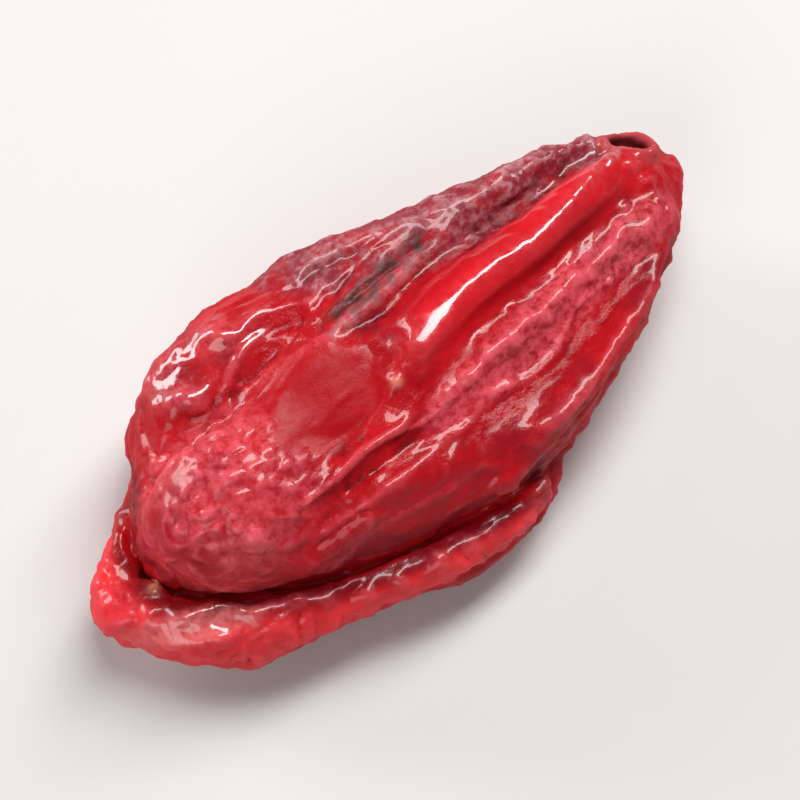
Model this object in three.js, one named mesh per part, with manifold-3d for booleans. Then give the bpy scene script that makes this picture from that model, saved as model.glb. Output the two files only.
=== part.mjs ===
// One dried dogwood fruit: the pitted, shrunken red flesh of a single drupe, lying on its side.
// Millimetres, +Z up. X runs along the fruit, with the calyx scar at +X and the broad, split end at -X.
// The stone was squeezed out through a split, so the flesh lies in two layers that are grown together:
// the upper one is domed and ribbed, and the lower one shows as a rolled lip round the -X end and the -Y side.
// The surface is where a distance formula is zero. It is found on a fine grid, then made lighter.
import * as THREE from 'three';
import Module from 'manifold-3d';

// Driving dimensions.
const crownHeight = 4.8; // top of the upper layer above the table, before its ridges
const crownFall = 0.015; // how fast the crown falls towards the two ends
const lipHeight = 1.95; // top of the lower layer, before its rolled edge
const restDepth = 0.07; // how far the round underside is cut off by the flat spot it rests on
const gridStep = 0.21; // longest triangle edge of the fine surface
const slack = 0.023; // how far the lighter surface may stray from the fine one
// How softly forms run into each other: for ridges and grooves as a share of their radius.
const blend = { ridge: 0.8, groove: 1.0, layers: 0.14, lip: 0.3, crease: 0.1, cup: 0.1, rim: 0.14 };

// Outlines seen from above, anticlockwise from the calyx end.
const upperOutline = [
  [8.22, 0.5], [8.06, 1.04], [7.58, 1.6], [6.8, 2.1], [5.4, 2.42], [4.1, 2.6], [2.3, 3.06], [0.6, 3.52],
  [-1.0, 3.62], [-2.5, 3.65], [-3.85, 3.3], [-4.8, 2.68], [-5.4, 1.9], [-6.1, 0.95], [-6.42, 0.05],
  [-6.25, -0.7], [-5.6, -1.35], [-4.1, -2.2], [-2.4, -2.8], [-0.8, -3.1], [0.8, -3.3], [2.2, -3.25],
  [3.6, -2.9], [5.0, -2.24], [6.46, -1.36], [7.36, -0.5], [7.96, 0.02],
];
const lowerOutline = [
  [5.2, 0.3], [4.7, 1.3], [3.3, 2.1], [1.0, 2.9], [-1.5, 3.1], [-3.8, 2.8], [-4.8, 2.2], [-5.5, 1.72],
  [-6.4, 1.02], [-7.1, 0.56], [-7.78, 0.24], [-7.93, -0.2], [-7.6, -0.95], [-7.08, -1.7], [-6.2, -2.62],
  [-5.15, -3.1], [-3.6, -3.3], [-2.1, -3.74], [-0.9, -4.04], [0.3, -4.1], [1.4, -3.84], [2.6, -3.15],
  [4.0, -2.2], [4.9, -0.9],
];
const upperLayer = {
  reach: reachOf(upperOutline),
  level: (angle) => 2.25 - 0.15 * Math.sin(angle) + 0.15 * Math.cos(angle),
  crown: (x) => crownHeight - crownFall * (x + 1) ** 2,
  under: (x) => 0.03 * Math.max(x - 2, 0) ** 2 + 0.02 * Math.max(-3 - x, 0) ** 2,
  roundness: 2.15,
};
const lowerLayer = {
  reach: reachOf(lowerOutline),
  level: (angle) => 1.1 - 0.15 * Math.cos(angle),
  crown: () => lipHeight,
  under: (x) => 0.03 * Math.max(-3 - x, 0) ** 2 + 0.06 * Math.max(x - 2.5, 0) ** 2 - restDepth,
  roundness: 2.2,
};

// The rolled edge of the lower layer: x, y, z and radius.
const lipRoll = [
  [-5.25, 1.8, 1.75, 0.2], [-6.1, 1.0, 1.75, 0.34], [-6.95, 0.38, 1.72, 0.46], [-7.28, -0.3, 1.72, 0.62],
  [-6.38, -1.45, 1.8, 0.72], [-5.3, -2.25, 1.82, 0.72], [-4.0, -2.72, 1.82, 0.6], [-2.5, -3.14, 1.82, 0.52],
  [-1.0, -3.5, 1.8, 0.5], [0.4, -3.64, 1.8, 0.43], [1.5, -3.43, 1.9, 0.34], [2.6, -2.9, 2.0, 0.2],
];
// The crease that goes in between the lip and the upper layer.
const crease = [
  [-5.9, 1.55, 2.5, 0.1], [-6.12, 1.15, 2.2, 0.13], [-6.42, 0.6, 2.05, 0.16], [-6.45, -0.4, 2.1, 0.16],
  [-5.92, -1.17, 2.15, 0.16], [-4.97, -1.78, 2.2, 0.16], [-3.66, -2.43, 2.15, 0.15], [-2.06, -2.93, 2.1, 0.15],
  [-0.4, -3.2, 2.1, 0.14], [0.8, -3.42, 2.2, 0.12], [1.5, -3.6, 2.5, 0.1],
];
const creaseRises = [0, 0.18, 0.34]; // the crease is a slot, open at its top

// Ridges of the upper side: x, y, rise above the layer and radius.
const ridges = {
  calyx: [[0.2, -0.05, -0.1, 0.7], [1.0, 0.1, 0.32, 0.74], [2.1, 0.3, 0.44, 0.7], [4.2, 0.5, 0.48, 0.62],
    [6.0, 0.9, 0.42, 0.52], [7.1, 1.0, 0.2, 0.46]],
  wrinkled: [[0.3, -1.38, -0.05, 0.44], [1.1, -1.32, 0.28, 0.52], [2.7, -1.12, 0.42, 0.6],
    [4.3, -0.92, 0.46, 0.6], [5.7, -0.6, 0.4, 0.5], [7.0, -0.25, 0.1, 0.4]],
  thinCrest: [[-3.4, -1.16, -0.06, 0.2], [-2.4, -1.22, 0.14, 0.19], [-1.0, -1.26, 0.18, 0.19],
    [0.6, -1.34, 0.2, 0.22]],
  edge: [[0.7, -2.95, -0.1, 0.4], [2.0, -2.8, 0.24, 0.4], [3.6, -2.36, 0.34, 0.4], [5.2, -1.75, 0.3, 0.36],
    [6.6, -1.0, 0.06, 0.3]],
  low: [[-3.8, -1.95, -0.08, 0.34], [-2.6, -2.05, 0.16, 0.34], [-1.2, -2.1, 0.22, 0.34],
    [0.0, -2.2, -0.04, 0.34]],
  shoulder: [[-4.6, 1.9, -0.1, 0.6], [-3.95, 2.25, 0.16, 0.72], [-3.0, 2.5, 0.3, 0.82], [-1.8, 2.65, 0.22, 0.8],
    [-0.7, 2.6, -0.1, 0.7]],
  shoulderEdge: [[-4.7, 2.35, 0, 0.2], [-4.0, 2.8, 0.22, 0.26], [-3.1, 3.1, 0.26, 0.26], [-2.2, 3.2, 0, 0.2]],
  shoulderFold: [[-2.9, 2.75, 0.1, 0.2], [-2.2, 2.62, 0.34, 0.24], [-1.2, 2.5, 0.26, 0.24],
    [-0.4, 2.45, 0, 0.2]],
  shoulderBead: [[-4.6, 1.95, 0.1, 0.2], [-4.1, 2.0, 0.34, 0.26], [-3.3, 1.8, 0.1, 0.2]],
  darkBand: [[-0.6, 2.8, -0.06, 0.6], [0.6, 2.6, 0.22, 0.68], [2.6, 2.15, 0.3, 0.62], [4.7, 1.88, 0.32, 0.5],
    [6.5, 1.62, 0.22, 0.4]],
};
// Grooves of the upper side: x, y, depth below the layer and radius.
const grooves = {
  underCalyx: [[0.3, -1.0, -0.1, 0.3], [0.9, -0.88, 0.1, 0.32], [2.4, -0.52, 0.22, 0.32],
    [3.7, -0.37, 0.22, 0.32], [5.7, -0.06, 0.14, 0.28], [6.9, 0.14, -0.1, 0.24]],
  overCalyx: [[-0.1, 0.98, 0, 0.28], [0.7, 1.08, 0.22, 0.3], [2.1, 1.3, 0.3, 0.32], [4.2, 1.4, 0.26, 0.3],
    [6.0, 1.52, 0.12, 0.26], [7.0, 1.58, -0.08, 0.24]],
  stained: [[-0.6, 1.52, -0.1, 0.16], [0.3, 1.56, 0.16, 0.17], [1.3, 1.72, 0.1, 0.17],
    [2.3, 1.88, -0.12, 0.16]],
  shoulder: [[-5.3, 1.1, 0.0, 0.24], [-4.4, 1.4, 0.08, 0.36], [-3.3, 1.35, 0.1, 0.36], [-2.2, 1.5, 0.16, 0.34],
    [-1.0, 1.9, 0.0, 0.3]],
  lower: [[-0.6, -1.9, 0, 0.5], [0.8, -1.95, 0.16, 0.6], [2.4, -1.9, 0.26, 0.66], [4.4, -1.5, 0.24, 0.6],
    [6.0, -0.95, 0.1, 0.4]],
};
// Grooves of the flanks and the underside: x, bearing in degrees about the fruit's long axis
// (0 is +Y, 90 is up), depth and radius.
const foldGrooves = {
  flankHigh: [[-4.2, 30, 0, 0.2], [-2.4, 22, 0.2, 0.28], [0.6, 22, 0.24, 0.3], [3.4, 24, 0.2, 0.28],
    [6.2, 22, 0.05, 0.2]],
  flankLow: [[-5.2, 0, 0.05, 0.2], [-3.0, -8, 0.26, 0.34], [0, -4, 0.3, 0.36], [3.2, -2, 0.28, 0.34],
    [6.6, 0, 0.08, 0.22]],
  keel: [[-5.6, -36, 0.05, 0.3], [-3.6, -42, 0.3, 0.42], [0, -40, 0.34, 0.46], [3.4, -38, 0.3, 0.42],
    [6.6, -30, 0.1, 0.24]],
  seam: [[-6.4, -128, 0.05, 0.3], [-4.2, -136, 0.3, 0.42], [-0.6, -138, 0.34, 0.46], [3.0, -134, 0.3, 0.42],
    [6.6, -128, 0.1, 0.24]],
  brow: [[1.6, 176, 0, 0.2], [3.2, 172, 0.18, 0.28], [5.2, 168, 0.16, 0.26], [6.9, 160, 0, 0.2]],
  lipSide: [[-6.0, -164, 0.04, 0.2], [-3.8, -168, 0.18, 0.26], [-0.8, -166, 0.22, 0.3], [2.4, -164, 0.2, 0.28],
    [5.6, -160, 0.05, 0.2]],
};
const longAxis = { y: (x) => 0.07 * Math.max(x, 0), z: (x) => 1.5 + 0.08 * x };

// Rounded swellings and hollows: centre and half-sizes.
const dome = { centre: [-4.0, -0.15, 3.15], size: [2.1, 1.75, 1.8], soft: 0.8 };
const hollow = { centre: [-1.3, 0.2, 6.1], size: [1.9, 1.6, 1.6], soft: 0.2 };
// The calyx scar: a long narrow cup with a thin rim, facing up and out at the end.
const scar = {
  centre: [7.4, 1.26, 2.94],
  facing: [0.42, 0.42, 0.8],
  halfLength: 0.46,
  halfWidth: 0.27,
  depth: 0.34,
  rim: 0.15,
};

function smoothUnion(a, b, soft) {
  const near = Math.max(soft - Math.abs(a - b), 0) / soft;
  return Math.min(a, b) - (near * near * soft) / 4;
}

function smoothCut(a, b, soft) {
  return -smoothUnion(-a, b, soft);
}

// Cubic through four even values, at t from 0 to 1 between the middle two.
function cubic(a, b, c, d, t) {
  return b + 0.5 * t * (c - a + t * (2 * a - 5 * b + 4 * c - d + t * (3 * (b - c) + d - a)));
}

// A function that gives how far an outline is from the middle in the direction of an angle.
function reachOf(outline) {
  const count = outline.length;
  const pieces = 16;
  const steps = 720;
  const turn = 2 * Math.PI;
  const points = [];
  for (let i = 0; i < count; i++) {
    const four = [-1, 0, 1, 2].map((j) => outline[(i + j + count) % count]);
    for (let k = 0; k < pieces; k++) {
      const [x, y] = [0, 1].map((axis) => cubic(...four.map((p) => p[axis]), k / pieces));
      points.push([Math.atan2(y, x), Math.hypot(x, y)]);
    }
  }
  points.sort((a, b) => a[0] - b[0]);
  const [firstAngle, firstReach] = points[0];
  const [lastAngle, lastReach] = points[points.length - 1];
  const round = [[lastAngle - turn, lastReach], ...points, [firstAngle + turn, firstReach]];
  const table = [];
  for (let i = 0, k = 0; i <= steps; i++) {
    const angle = -Math.PI + (turn * i) / steps;
    while (round[k + 1][0] < angle) k++;
    const t = (angle - round[k][0]) / (round[k + 1][0] - round[k][0]);
    table.push(round[k][1] + t * (round[k + 1][1] - round[k][1]));
  }
  return (angle) => {
    const at = ((angle + Math.PI) / turn) * steps;
    const i = Math.min(Math.floor(at), steps - 1);
    return table[i] + (at - i) * (table[i + 1] - table[i]);
  };
}

// A layer of flesh as a cushion over its outline: 1 on its surface, less inside.
function cushion(layer, x, y, z) {
  const angle = Math.atan2(y, x);
  const level = layer.level(angle);
  const across = Math.hypot(x, y) / layer.reach(angle);
  const limit = z > level ? layer.crown(x) : layer.under(x);
  const up = Math.abs((z - level) / (limit - level));
  return (across ** layer.roundness + up ** layer.roundness) ** (1 / layer.roundness);
}

function layerDistance(layer, x, y, z) {
  const h = 0.01;
  const value = cushion(layer, x, y, z);
  const slope = Math.hypot(
    cushion(layer, x + h, y, z) - value,
    cushion(layer, x, y + h, z) - value,
    cushion(layer, x, y, z + h) - value,
  ) / h;
  return (value - 1) / Math.max(slope, 0.05);
}

function topOf(layer, x, y) {
  const angle = Math.atan2(y, x);
  const across = Math.min(Math.hypot(x, y) / layer.reach(angle), 1);
  const level = layer.level(angle);
  return level + (layer.crown(x) - level) * (1 - across ** layer.roundness) ** (1 / layer.roundness);
}

// A rope along a smooth line through points that end in a radius, with the box that holds it.
function ropeThrough(points) {
  const pieces = 4;
  const last = points.length - 1;
  const line = [];
  for (let i = 0; i < last; i++) {
    const four = [points[Math.max(i - 1, 0)], points[i], points[i + 1], points[Math.min(i + 2, last)]];
    for (let k = 0; k < pieces; k++) {
      line.push(points[0].map((_, c) => cubic(...four.map((p) => p[c]), k / pieces)));
    }
  }
  line.push(points[last]);
  const radius = Math.max(...line.map((p) => p[3]));
  const low = [0, 1, 2].map((c) => Math.min(...line.map((p) => p[c])) - radius);
  const high = [0, 1, 2].map((c) => Math.max(...line.map((p) => p[c])) + radius);
  return { line, low, high, radius };
}

// The distance to a rope, or Infinity where its box is out of range.
function ropeDistance({ line, low, high }, x, y, z, range) {
  const off = [x, y, z].map((v, c) => Math.max(low[c] - v, v - high[c], 0));
  if (Math.hypot(...off) > range) return Infinity;
  let best = Infinity;
  for (let i = 0; i < line.length - 1; i++) {
    const [ax, ay, az, ar] = line[i];
    const [bx, by, bz, br] = line[i + 1];
    const dx = bx - ax;
    const dy = by - ay;
    const dz = bz - az;
    const along = ((x - ax) * dx + (y - ay) * dy + (z - az) * dz) / (dx * dx + dy * dy + dz * dz);
    const t = Math.min(Math.max(along, 0), 1);
    const away = Math.hypot(x - ax - t * dx, y - ay - t * dy, z - az - t * dz) - ar - t * (br - ar);
    if (away < best) best = away;
  }
  return best;
}

function eggDistance({ centre, size }, x, y, z) {
  const off = [x, y, z].map((v, i) => v - centre[i]);
  const near = Math.hypot(...off.map((v, i) => v / size[i]));
  const slope = Math.hypot(...off.map((v, i) => v / size[i] ** 2));
  return slope > 0 ? (near * (near - 1)) / slope : -Math.min(...size);
}

// A ridge (sign 1) or a groove (sign -1) laid on the top of the upper layer.
const onTop = (points, sign) => ropeThrough(points.map(([x, y, amount, radius]) => (
  [x, y, topOf(upperLayer, x, y) + sign * (amount - radius), radius])));

// A groove laid on the side of the two layers, found from the long axis outwards.
const onSide = (points) => ropeThrough(points.map(([x, bearing, depth, radius]) => {
  const [y0, z0] = [longAxis.y(x), longAxis.z(x)];
  const [c, s] = [Math.cos(bearing * THREE.MathUtils.DEG2RAD), Math.sin(bearing * THREE.MathUtils.DEG2RAD)];
  let [inside, outside] = [0, 8];
  while (outside - inside > 1e-4) {
    const r = (inside + outside) / 2;
    const at = [x, y0 + r * c, z0 + r * s];
    if (Math.min(cushion(upperLayer, ...at), cushion(lowerLayer, ...at)) < 1) inside = r;
    else outside = r;
  }
  const r = outside + radius - depth;
  return [x, y0 + r * c, z0 + r * s, radius];
}));

const ridgeRopes = Object.values(ridges).map((points) => onTop(points, 1));
const grooveRopes = Object.values(grooves).map((points) => onTop(points, -1));
const foldRopes = Object.values(foldGrooves).map(onSide);
const lipRope = ropeThrough(lipRoll);
const creaseRopes = creaseRises.map((rise) => ropeThrough(crease.map(([x, y, z, radius]) => (
  [x, y, z + rise, radius]))));

const scarFacing = new THREE.Vector3(...scar.facing).normalize();
const scarSide = new THREE.Vector3(0, 0, 1).cross(scarFacing).normalize();
const scarUp = scarFacing.clone().cross(scarSide);
const rimRope = ropeThrough(Array.from({ length: 13 }, (_, i) => {
  const turn = (i / 12) * 2 * Math.PI;
  const point = new THREE.Vector3(...scar.centre)
    .addScaledVector(scarSide, (scar.halfLength + scar.rim / 2) * Math.cos(turn))
    .addScaledVector(scarUp, (scar.halfWidth + scar.rim / 2) * Math.sin(turn));
  return [...point, scar.rim];
}));

function cupDistance(x, y, z) {
  const off = new THREE.Vector3(x, y, z).sub(new THREE.Vector3(...scar.centre));
  const local = [off.dot(scarSide), off.dot(scarUp), off.dot(scarFacing)];
  return eggDistance({ centre: [0, 0, 0], size: [scar.halfLength, scar.halfWidth, scar.depth] }, ...local);
}

// Below zero inside the flesh.
function fleshDistance(x, y, z) {
  const calm = 1.3; // farther than this from the surface, no ridge or groove matters
  let upper = layerDistance(upperLayer, x, y, z);
  let lower = layerDistance(lowerLayer, x, y, z);
  const plain = Math.min(upper, lower);
  if (Math.abs(plain) > calm) return plain;
  const join = (all, rope, soft) => smoothUnion(all, ropeDistance(rope, x, y, z, all + soft), soft);
  const cut = (all, rope, soft) => smoothCut(all, ropeDistance(rope, x, y, z, soft - all), soft);
  for (const rope of ridgeRopes) upper = join(upper, rope, blend.ridge * rope.radius);
  upper = smoothUnion(upper, eggDistance(dome, x, y, z), dome.soft);
  for (const rope of grooveRopes) upper = cut(upper, rope, blend.groove * rope.radius);
  upper = smoothCut(upper, eggDistance(hollow, x, y, z), hollow.soft);
  lower = join(lower, lipRope, blend.lip);
  let all = smoothUnion(upper, lower, blend.layers);
  for (const rope of creaseRopes) all = cut(all, rope, blend.crease);
  for (const rope of foldRopes) all = cut(all, rope, blend.groove * rope.radius);
  return smoothCut(join(all, rimRope, blend.rim), cupDistance(x, y, z), blend.cup);
}

const solids = await Module();
solids.setup();
const bounds = { min: [-8.9, -4.9, -0.6], max: [8.9, 4.7, 6.0] };
const mesh = solids.Manifold.levelSet((point) => -fleshDistance(...point), bounds, gridStep, 0, gridStep / 40)
  .trimByPlane([0, 0, 1], 0)
  .simplify(slack)
  .getMesh();
const geometry = new THREE.BufferGeometry();
geometry.setAttribute('position', new THREE.BufferAttribute(mesh.vertProperties, mesh.numProp));
geometry.setIndex(new THREE.BufferAttribute(mesh.triVerts, 1));
geometry.computeBoundingBox();
const { min, max } = geometry.boundingBox;
geometry.translate(-(min.x + max.x) / 2, -(min.y + max.y) / 2, -min.z);
geometry.computeVertexNormals();

const skin = new THREE.MeshStandardMaterial({ color: 0x8c0f1c, roughness: 0.35, metalness: 0 });
const fruit = new THREE.Mesh(geometry, skin);
fruit.name = 'dried_flesh';

const part = new THREE.Group();
part.add(fruit);
export default part;
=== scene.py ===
import math

import bpy
import numpy as np
from mathutils import Matrix, Vector


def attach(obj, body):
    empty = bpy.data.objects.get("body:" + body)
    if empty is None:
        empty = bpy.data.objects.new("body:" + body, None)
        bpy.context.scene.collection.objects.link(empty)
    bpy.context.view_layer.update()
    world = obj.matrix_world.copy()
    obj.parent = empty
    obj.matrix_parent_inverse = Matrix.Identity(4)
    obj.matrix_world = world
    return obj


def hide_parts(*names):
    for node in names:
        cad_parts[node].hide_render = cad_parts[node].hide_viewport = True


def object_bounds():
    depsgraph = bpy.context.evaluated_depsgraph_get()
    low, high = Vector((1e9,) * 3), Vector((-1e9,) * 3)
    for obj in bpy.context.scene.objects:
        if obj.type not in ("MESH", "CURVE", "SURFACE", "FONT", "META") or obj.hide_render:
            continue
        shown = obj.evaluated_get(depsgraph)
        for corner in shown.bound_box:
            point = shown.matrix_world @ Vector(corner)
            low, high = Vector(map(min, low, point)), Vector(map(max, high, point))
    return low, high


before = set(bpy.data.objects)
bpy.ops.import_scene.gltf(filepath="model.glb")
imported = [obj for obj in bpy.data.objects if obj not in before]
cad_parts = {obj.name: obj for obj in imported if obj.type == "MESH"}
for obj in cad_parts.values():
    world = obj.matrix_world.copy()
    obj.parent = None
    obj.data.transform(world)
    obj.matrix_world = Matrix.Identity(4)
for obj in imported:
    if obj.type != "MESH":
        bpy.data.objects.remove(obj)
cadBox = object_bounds()
print("frame loaded, CAD box", [[round(v, 5) for v in corner] for corner in cadBox])

# The form of the flesh, in millimetres. Outlines are seen from above, anticlockwise from the calyx end.
form = {
    "upperOutline": [
        (8.22, 0.5), (8.06, 1.04), (7.58, 1.6), (6.8, 2.1), (5.4, 2.42), (4.1, 2.6), (2.3, 3.06), (0.6, 3.52),
        (-1.0, 3.62), (-2.5, 3.65), (-3.85, 3.3), (-4.8, 2.68), (-5.4, 1.9), (-6.1, 0.95), (-6.42, 0.05),
        (-6.25, -0.7), (-5.6, -1.35), (-4.1, -2.2), (-2.4, -2.8), (-0.8, -3.1), (0.8, -3.3), (2.2, -3.25),
        (3.6, -2.9), (5.0, -2.24), (6.46, -1.36), (7.36, -0.5), (7.96, 0.02),
    ],
    "lowerOutline": [
        (5.2, 0.3), (4.7, 1.3), (3.3, 2.1), (1.0, 2.9), (-1.5, 3.1), (-3.8, 2.8), (-4.8, 2.2), (-5.5, 1.72),
        (-6.4, 1.02), (-7.1, 0.56), (-7.78, 0.24), (-7.93, -0.2), (-7.6, -0.95), (-7.08, -1.7), (-6.2, -2.62),
        (-5.15, -3.1), (-3.6, -3.3), (-2.1, -3.74), (-0.9, -4.04), (0.3, -4.1), (1.4, -3.84), (2.6, -3.15),
        (4.0, -2.2), (4.9, -0.9),
    ],
    "crownHeight": 4.8,
    "crownFall": 0.015,
    "lipHeight": 1.95,
    "restDepth": 0.07,
    "ridgeBlend": 0.8,  # these two are shares of the rope's radius
    "grooveBlend": 1.0,
    "layerBlend": 0.14,
    "lipBlend": 0.3,
    "creaseBlend": 0.1,
    "cupBlend": 0.1,
    "rimBlend": 0.14,
    # x, y, z and radius
    "lipRoll": [
        (-5.25, 1.8, 1.75, 0.2), (-6.1, 1.0, 1.75, 0.34), (-6.95, 0.38, 1.72, 0.46),
        (-7.28, -0.3, 1.72, 0.62), (-6.38, -1.45, 1.8, 0.72), (-5.3, -2.25, 1.82, 0.72),
        (-4.0, -2.72, 1.82, 0.6), (-2.5, -3.14, 1.82, 0.52), (-1.0, -3.5, 1.8, 0.5),
        (0.4, -3.64, 1.8, 0.43), (1.5, -3.43, 1.9, 0.34), (2.6, -2.9, 2.0, 0.2),
    ],
    "crease": [
        (-5.9, 1.55, 2.5, 0.1), (-6.12, 1.15, 2.2, 0.13), (-6.42, 0.6, 2.05, 0.16), (-6.45, -0.4, 2.1, 0.16),
        (-5.92, -1.17, 2.15, 0.16), (-4.97, -1.78, 2.2, 0.16), (-3.66, -2.43, 2.15, 0.15),
        (-2.06, -2.93, 2.1, 0.15), (-0.4, -3.2, 2.1, 0.14), (0.8, -3.42, 2.2, 0.12), (1.5, -3.6, 2.5, 0.1),
    ],
    "creaseRises": (0, 0.18, 0.34),
    # x, y, rise and radius
    "ridges": {
        "calyx": [(0.2, -0.05, -0.1, 0.7), (1.0, 0.1, 0.32, 0.74), (2.1, 0.3, 0.44, 0.7),
                  (4.2, 0.5, 0.48, 0.62), (6.0, 0.9, 0.42, 0.52), (7.1, 1.0, 0.2, 0.46)],
        "wrinkled": [(0.3, -1.38, -0.05, 0.44), (1.1, -1.32, 0.28, 0.52), (2.7, -1.12, 0.42, 0.6),
                     (4.3, -0.92, 0.46, 0.6), (5.7, -0.6, 0.4, 0.5), (7.0, -0.25, 0.1, 0.4)],
        "thinCrest": [(-3.4, -1.16, -0.06, 0.2), (-2.4, -1.22, 0.14, 0.19), (-1.0, -1.26, 0.18, 0.19),
                      (0.6, -1.34, 0.2, 0.22)],
        "edge": [(0.7, -2.95, -0.1, 0.4), (2.0, -2.8, 0.24, 0.4), (3.6, -2.36, 0.34, 0.4),
                 (5.2, -1.75, 0.3, 0.36), (6.6, -1.0, 0.06, 0.3)],
        "low": [(-3.8, -1.95, -0.08, 0.34), (-2.6, -2.05, 0.16, 0.34), (-1.2, -2.1, 0.22, 0.34),
                (0.0, -2.2, -0.04, 0.34)],
        "shoulder": [(-4.6, 1.9, -0.1, 0.6), (-3.95, 2.25, 0.16, 0.72), (-3.0, 2.5, 0.3, 0.82),
                     (-1.8, 2.65, 0.22, 0.8), (-0.7, 2.6, -0.1, 0.7)],
        "shoulderEdge": [(-4.7, 2.35, 0, 0.2), (-4.0, 2.8, 0.22, 0.26), (-3.1, 3.1, 0.26, 0.26),
                         (-2.2, 3.2, 0, 0.2)],
        "shoulderFold": [(-2.9, 2.75, 0.1, 0.2), (-2.2, 2.62, 0.34, 0.24), (-1.2, 2.5, 0.26, 0.24),
                         (-0.4, 2.45, 0, 0.2)],
        "shoulderBead": [(-4.6, 1.95, 0.1, 0.2), (-4.1, 2.0, 0.34, 0.26), (-3.3, 1.8, 0.1, 0.2)],
        "darkBand": [(-0.6, 2.8, -0.06, 0.6), (0.6, 2.6, 0.22, 0.68), (2.6, 2.15, 0.3, 0.62),
                     (4.7, 1.88, 0.32, 0.5), (6.5, 1.62, 0.22, 0.4)],
    },
    # x, y, depth and radius
    "grooves": {
        "underCalyx": [(0.3, -1.0, -0.1, 0.3), (0.9, -0.88, 0.1, 0.32), (2.4, -0.52, 0.22, 0.32),
                       (3.7, -0.37, 0.22, 0.32), (5.7, -0.06, 0.14, 0.28), (6.9, 0.14, -0.1, 0.24)],
        "overCalyx": [(-0.1, 0.98, 0, 0.28), (0.7, 1.08, 0.22, 0.3), (2.1, 1.3, 0.3, 0.32),
                      (4.2, 1.4, 0.26, 0.3), (6.0, 1.52, 0.12, 0.26), (7.0, 1.58, -0.08, 0.24)],
        "stained": [(-0.6, 1.52, -0.1, 0.16), (0.3, 1.56, 0.16, 0.17), (1.3, 1.72, 0.1, 0.17),
                    (2.3, 1.88, -0.12, 0.16)],
        "shoulder": [(-5.3, 1.1, 0.0, 0.24), (-4.4, 1.4, 0.08, 0.36), (-3.3, 1.35, 0.1, 0.36),
                     (-2.2, 1.5, 0.16, 0.34), (-1.0, 1.9, 0.0, 0.3)],
        "lower": [(-0.6, -1.9, 0, 0.5), (0.8, -1.95, 0.16, 0.6), (2.4, -1.9, 0.26, 0.66),
                  (4.4, -1.5, 0.24, 0.6), (6.0, -0.95, 0.1, 0.4)],
    },
    # x, bearing about the long axis in degrees (0 is +Y, 90 is up), depth and radius
    "folds": {
        "flankHigh": [(-4.2, 30, 0, 0.2), (-2.4, 22, 0.2, 0.28), (0.6, 22, 0.24, 0.3), (3.4, 24, 0.2, 0.28),
                      (6.2, 22, 0.05, 0.2)],
        "flankLow": [(-5.2, 0, 0.05, 0.2), (-3.0, -8, 0.26, 0.34), (0, -4, 0.3, 0.36), (3.2, -2, 0.28, 0.34),
                     (6.6, 0, 0.08, 0.22)],
        "keel": [(-5.6, -36, 0.05, 0.3), (-3.6, -42, 0.3, 0.42), (0, -40, 0.34, 0.46), (3.4, -38, 0.3, 0.42),
                 (6.6, -30, 0.1, 0.24)],
        "seam": [(-6.4, -128, 0.05, 0.3), (-4.2, -136, 0.3, 0.42), (-0.6, -138, 0.34, 0.46),
                 (3.0, -134, 0.3, 0.42), (6.6, -128, 0.1, 0.24)],
        "brow": [(1.6, 176, 0, 0.2), (3.2, 172, 0.18, 0.28), (5.2, 168, 0.16, 0.26), (6.9, 160, 0, 0.2)],
        "lipSide": [(-6.0, -164, 0.04, 0.2), (-3.8, -168, 0.18, 0.26), (-0.8, -166, 0.22, 0.3),
                    (2.4, -164, 0.2, 0.28), (5.6, -160, 0.05, 0.2)],
    },
    "dome": {"centre": (-4.0, -0.15, 3.15), "size": (2.1, 1.75, 1.8), "soft": 0.8},
    "hollow": {"centre": (-1.3, 0.2, 6.1), "size": (1.9, 1.6, 1.6), "soft": 0.2},
    "scar": {"centre": (7.4, 1.26, 2.94), "facing": (0.42, 0.42, 0.8), "halfLength": 0.46, "halfWidth": 0.27,
             "depth": 0.34, "rim": 0.15},
    # the line that the folds' bearings are measured about: its Y for each mm of X beyond 0, its Z at X 0 and
    # its climb for each mm of X
    "foldAxis": {"sideways": 0.07, "height": 1.5, "climb": 0.08},
}


def smoothUnion(a, b, soft):
    near = np.maximum(soft - np.abs(a - b), 0) / soft
    return np.minimum(a, b) - near * near * soft / 4


def smoothCut(a, b, soft):
    return -smoothUnion(-a, b, soft)


def smoothStep(low, high, value):
    t = np.clip((value - low) / (high - low), 0, 1)
    return t * t * (3 - 2 * t)


def cubic(a, b, c, d, t):
    return b + 0.5 * t * (c - a + t * (2 * a - 5 * b + 4 * c - d + t * (3 * (b - c) + d - a)))


def smoothLine(points, pieces=4, closed=False):
    points = np.array(points, float)
    count = len(points)
    line = []
    for i in range(count if closed else count - 1):
        order = [i - 1, i, i + 1, i + 2]
        order = [k % count for k in order] if closed else [min(max(k, 0), count - 1) for k in order]
        line += [cubic(*points[order], k / pieces) for k in range(pieces)]
    return np.array(line if closed else line + [points[-1]])


def reachOf(outline):
    line = smoothLine(outline, pieces=16, closed=True)
    angles = np.arctan2(line[:, 1], line[:, 0])
    order = np.argsort(angles)
    return angles[order], np.hypot(line[:, 0], line[:, 1])[order]


# height of a layer's widest edge, by the angle about the centre
def levelOf(middle, side, ahead):
    return lambda angle: middle + side * np.sin(angle) + ahead * np.cos(angle)


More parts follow.
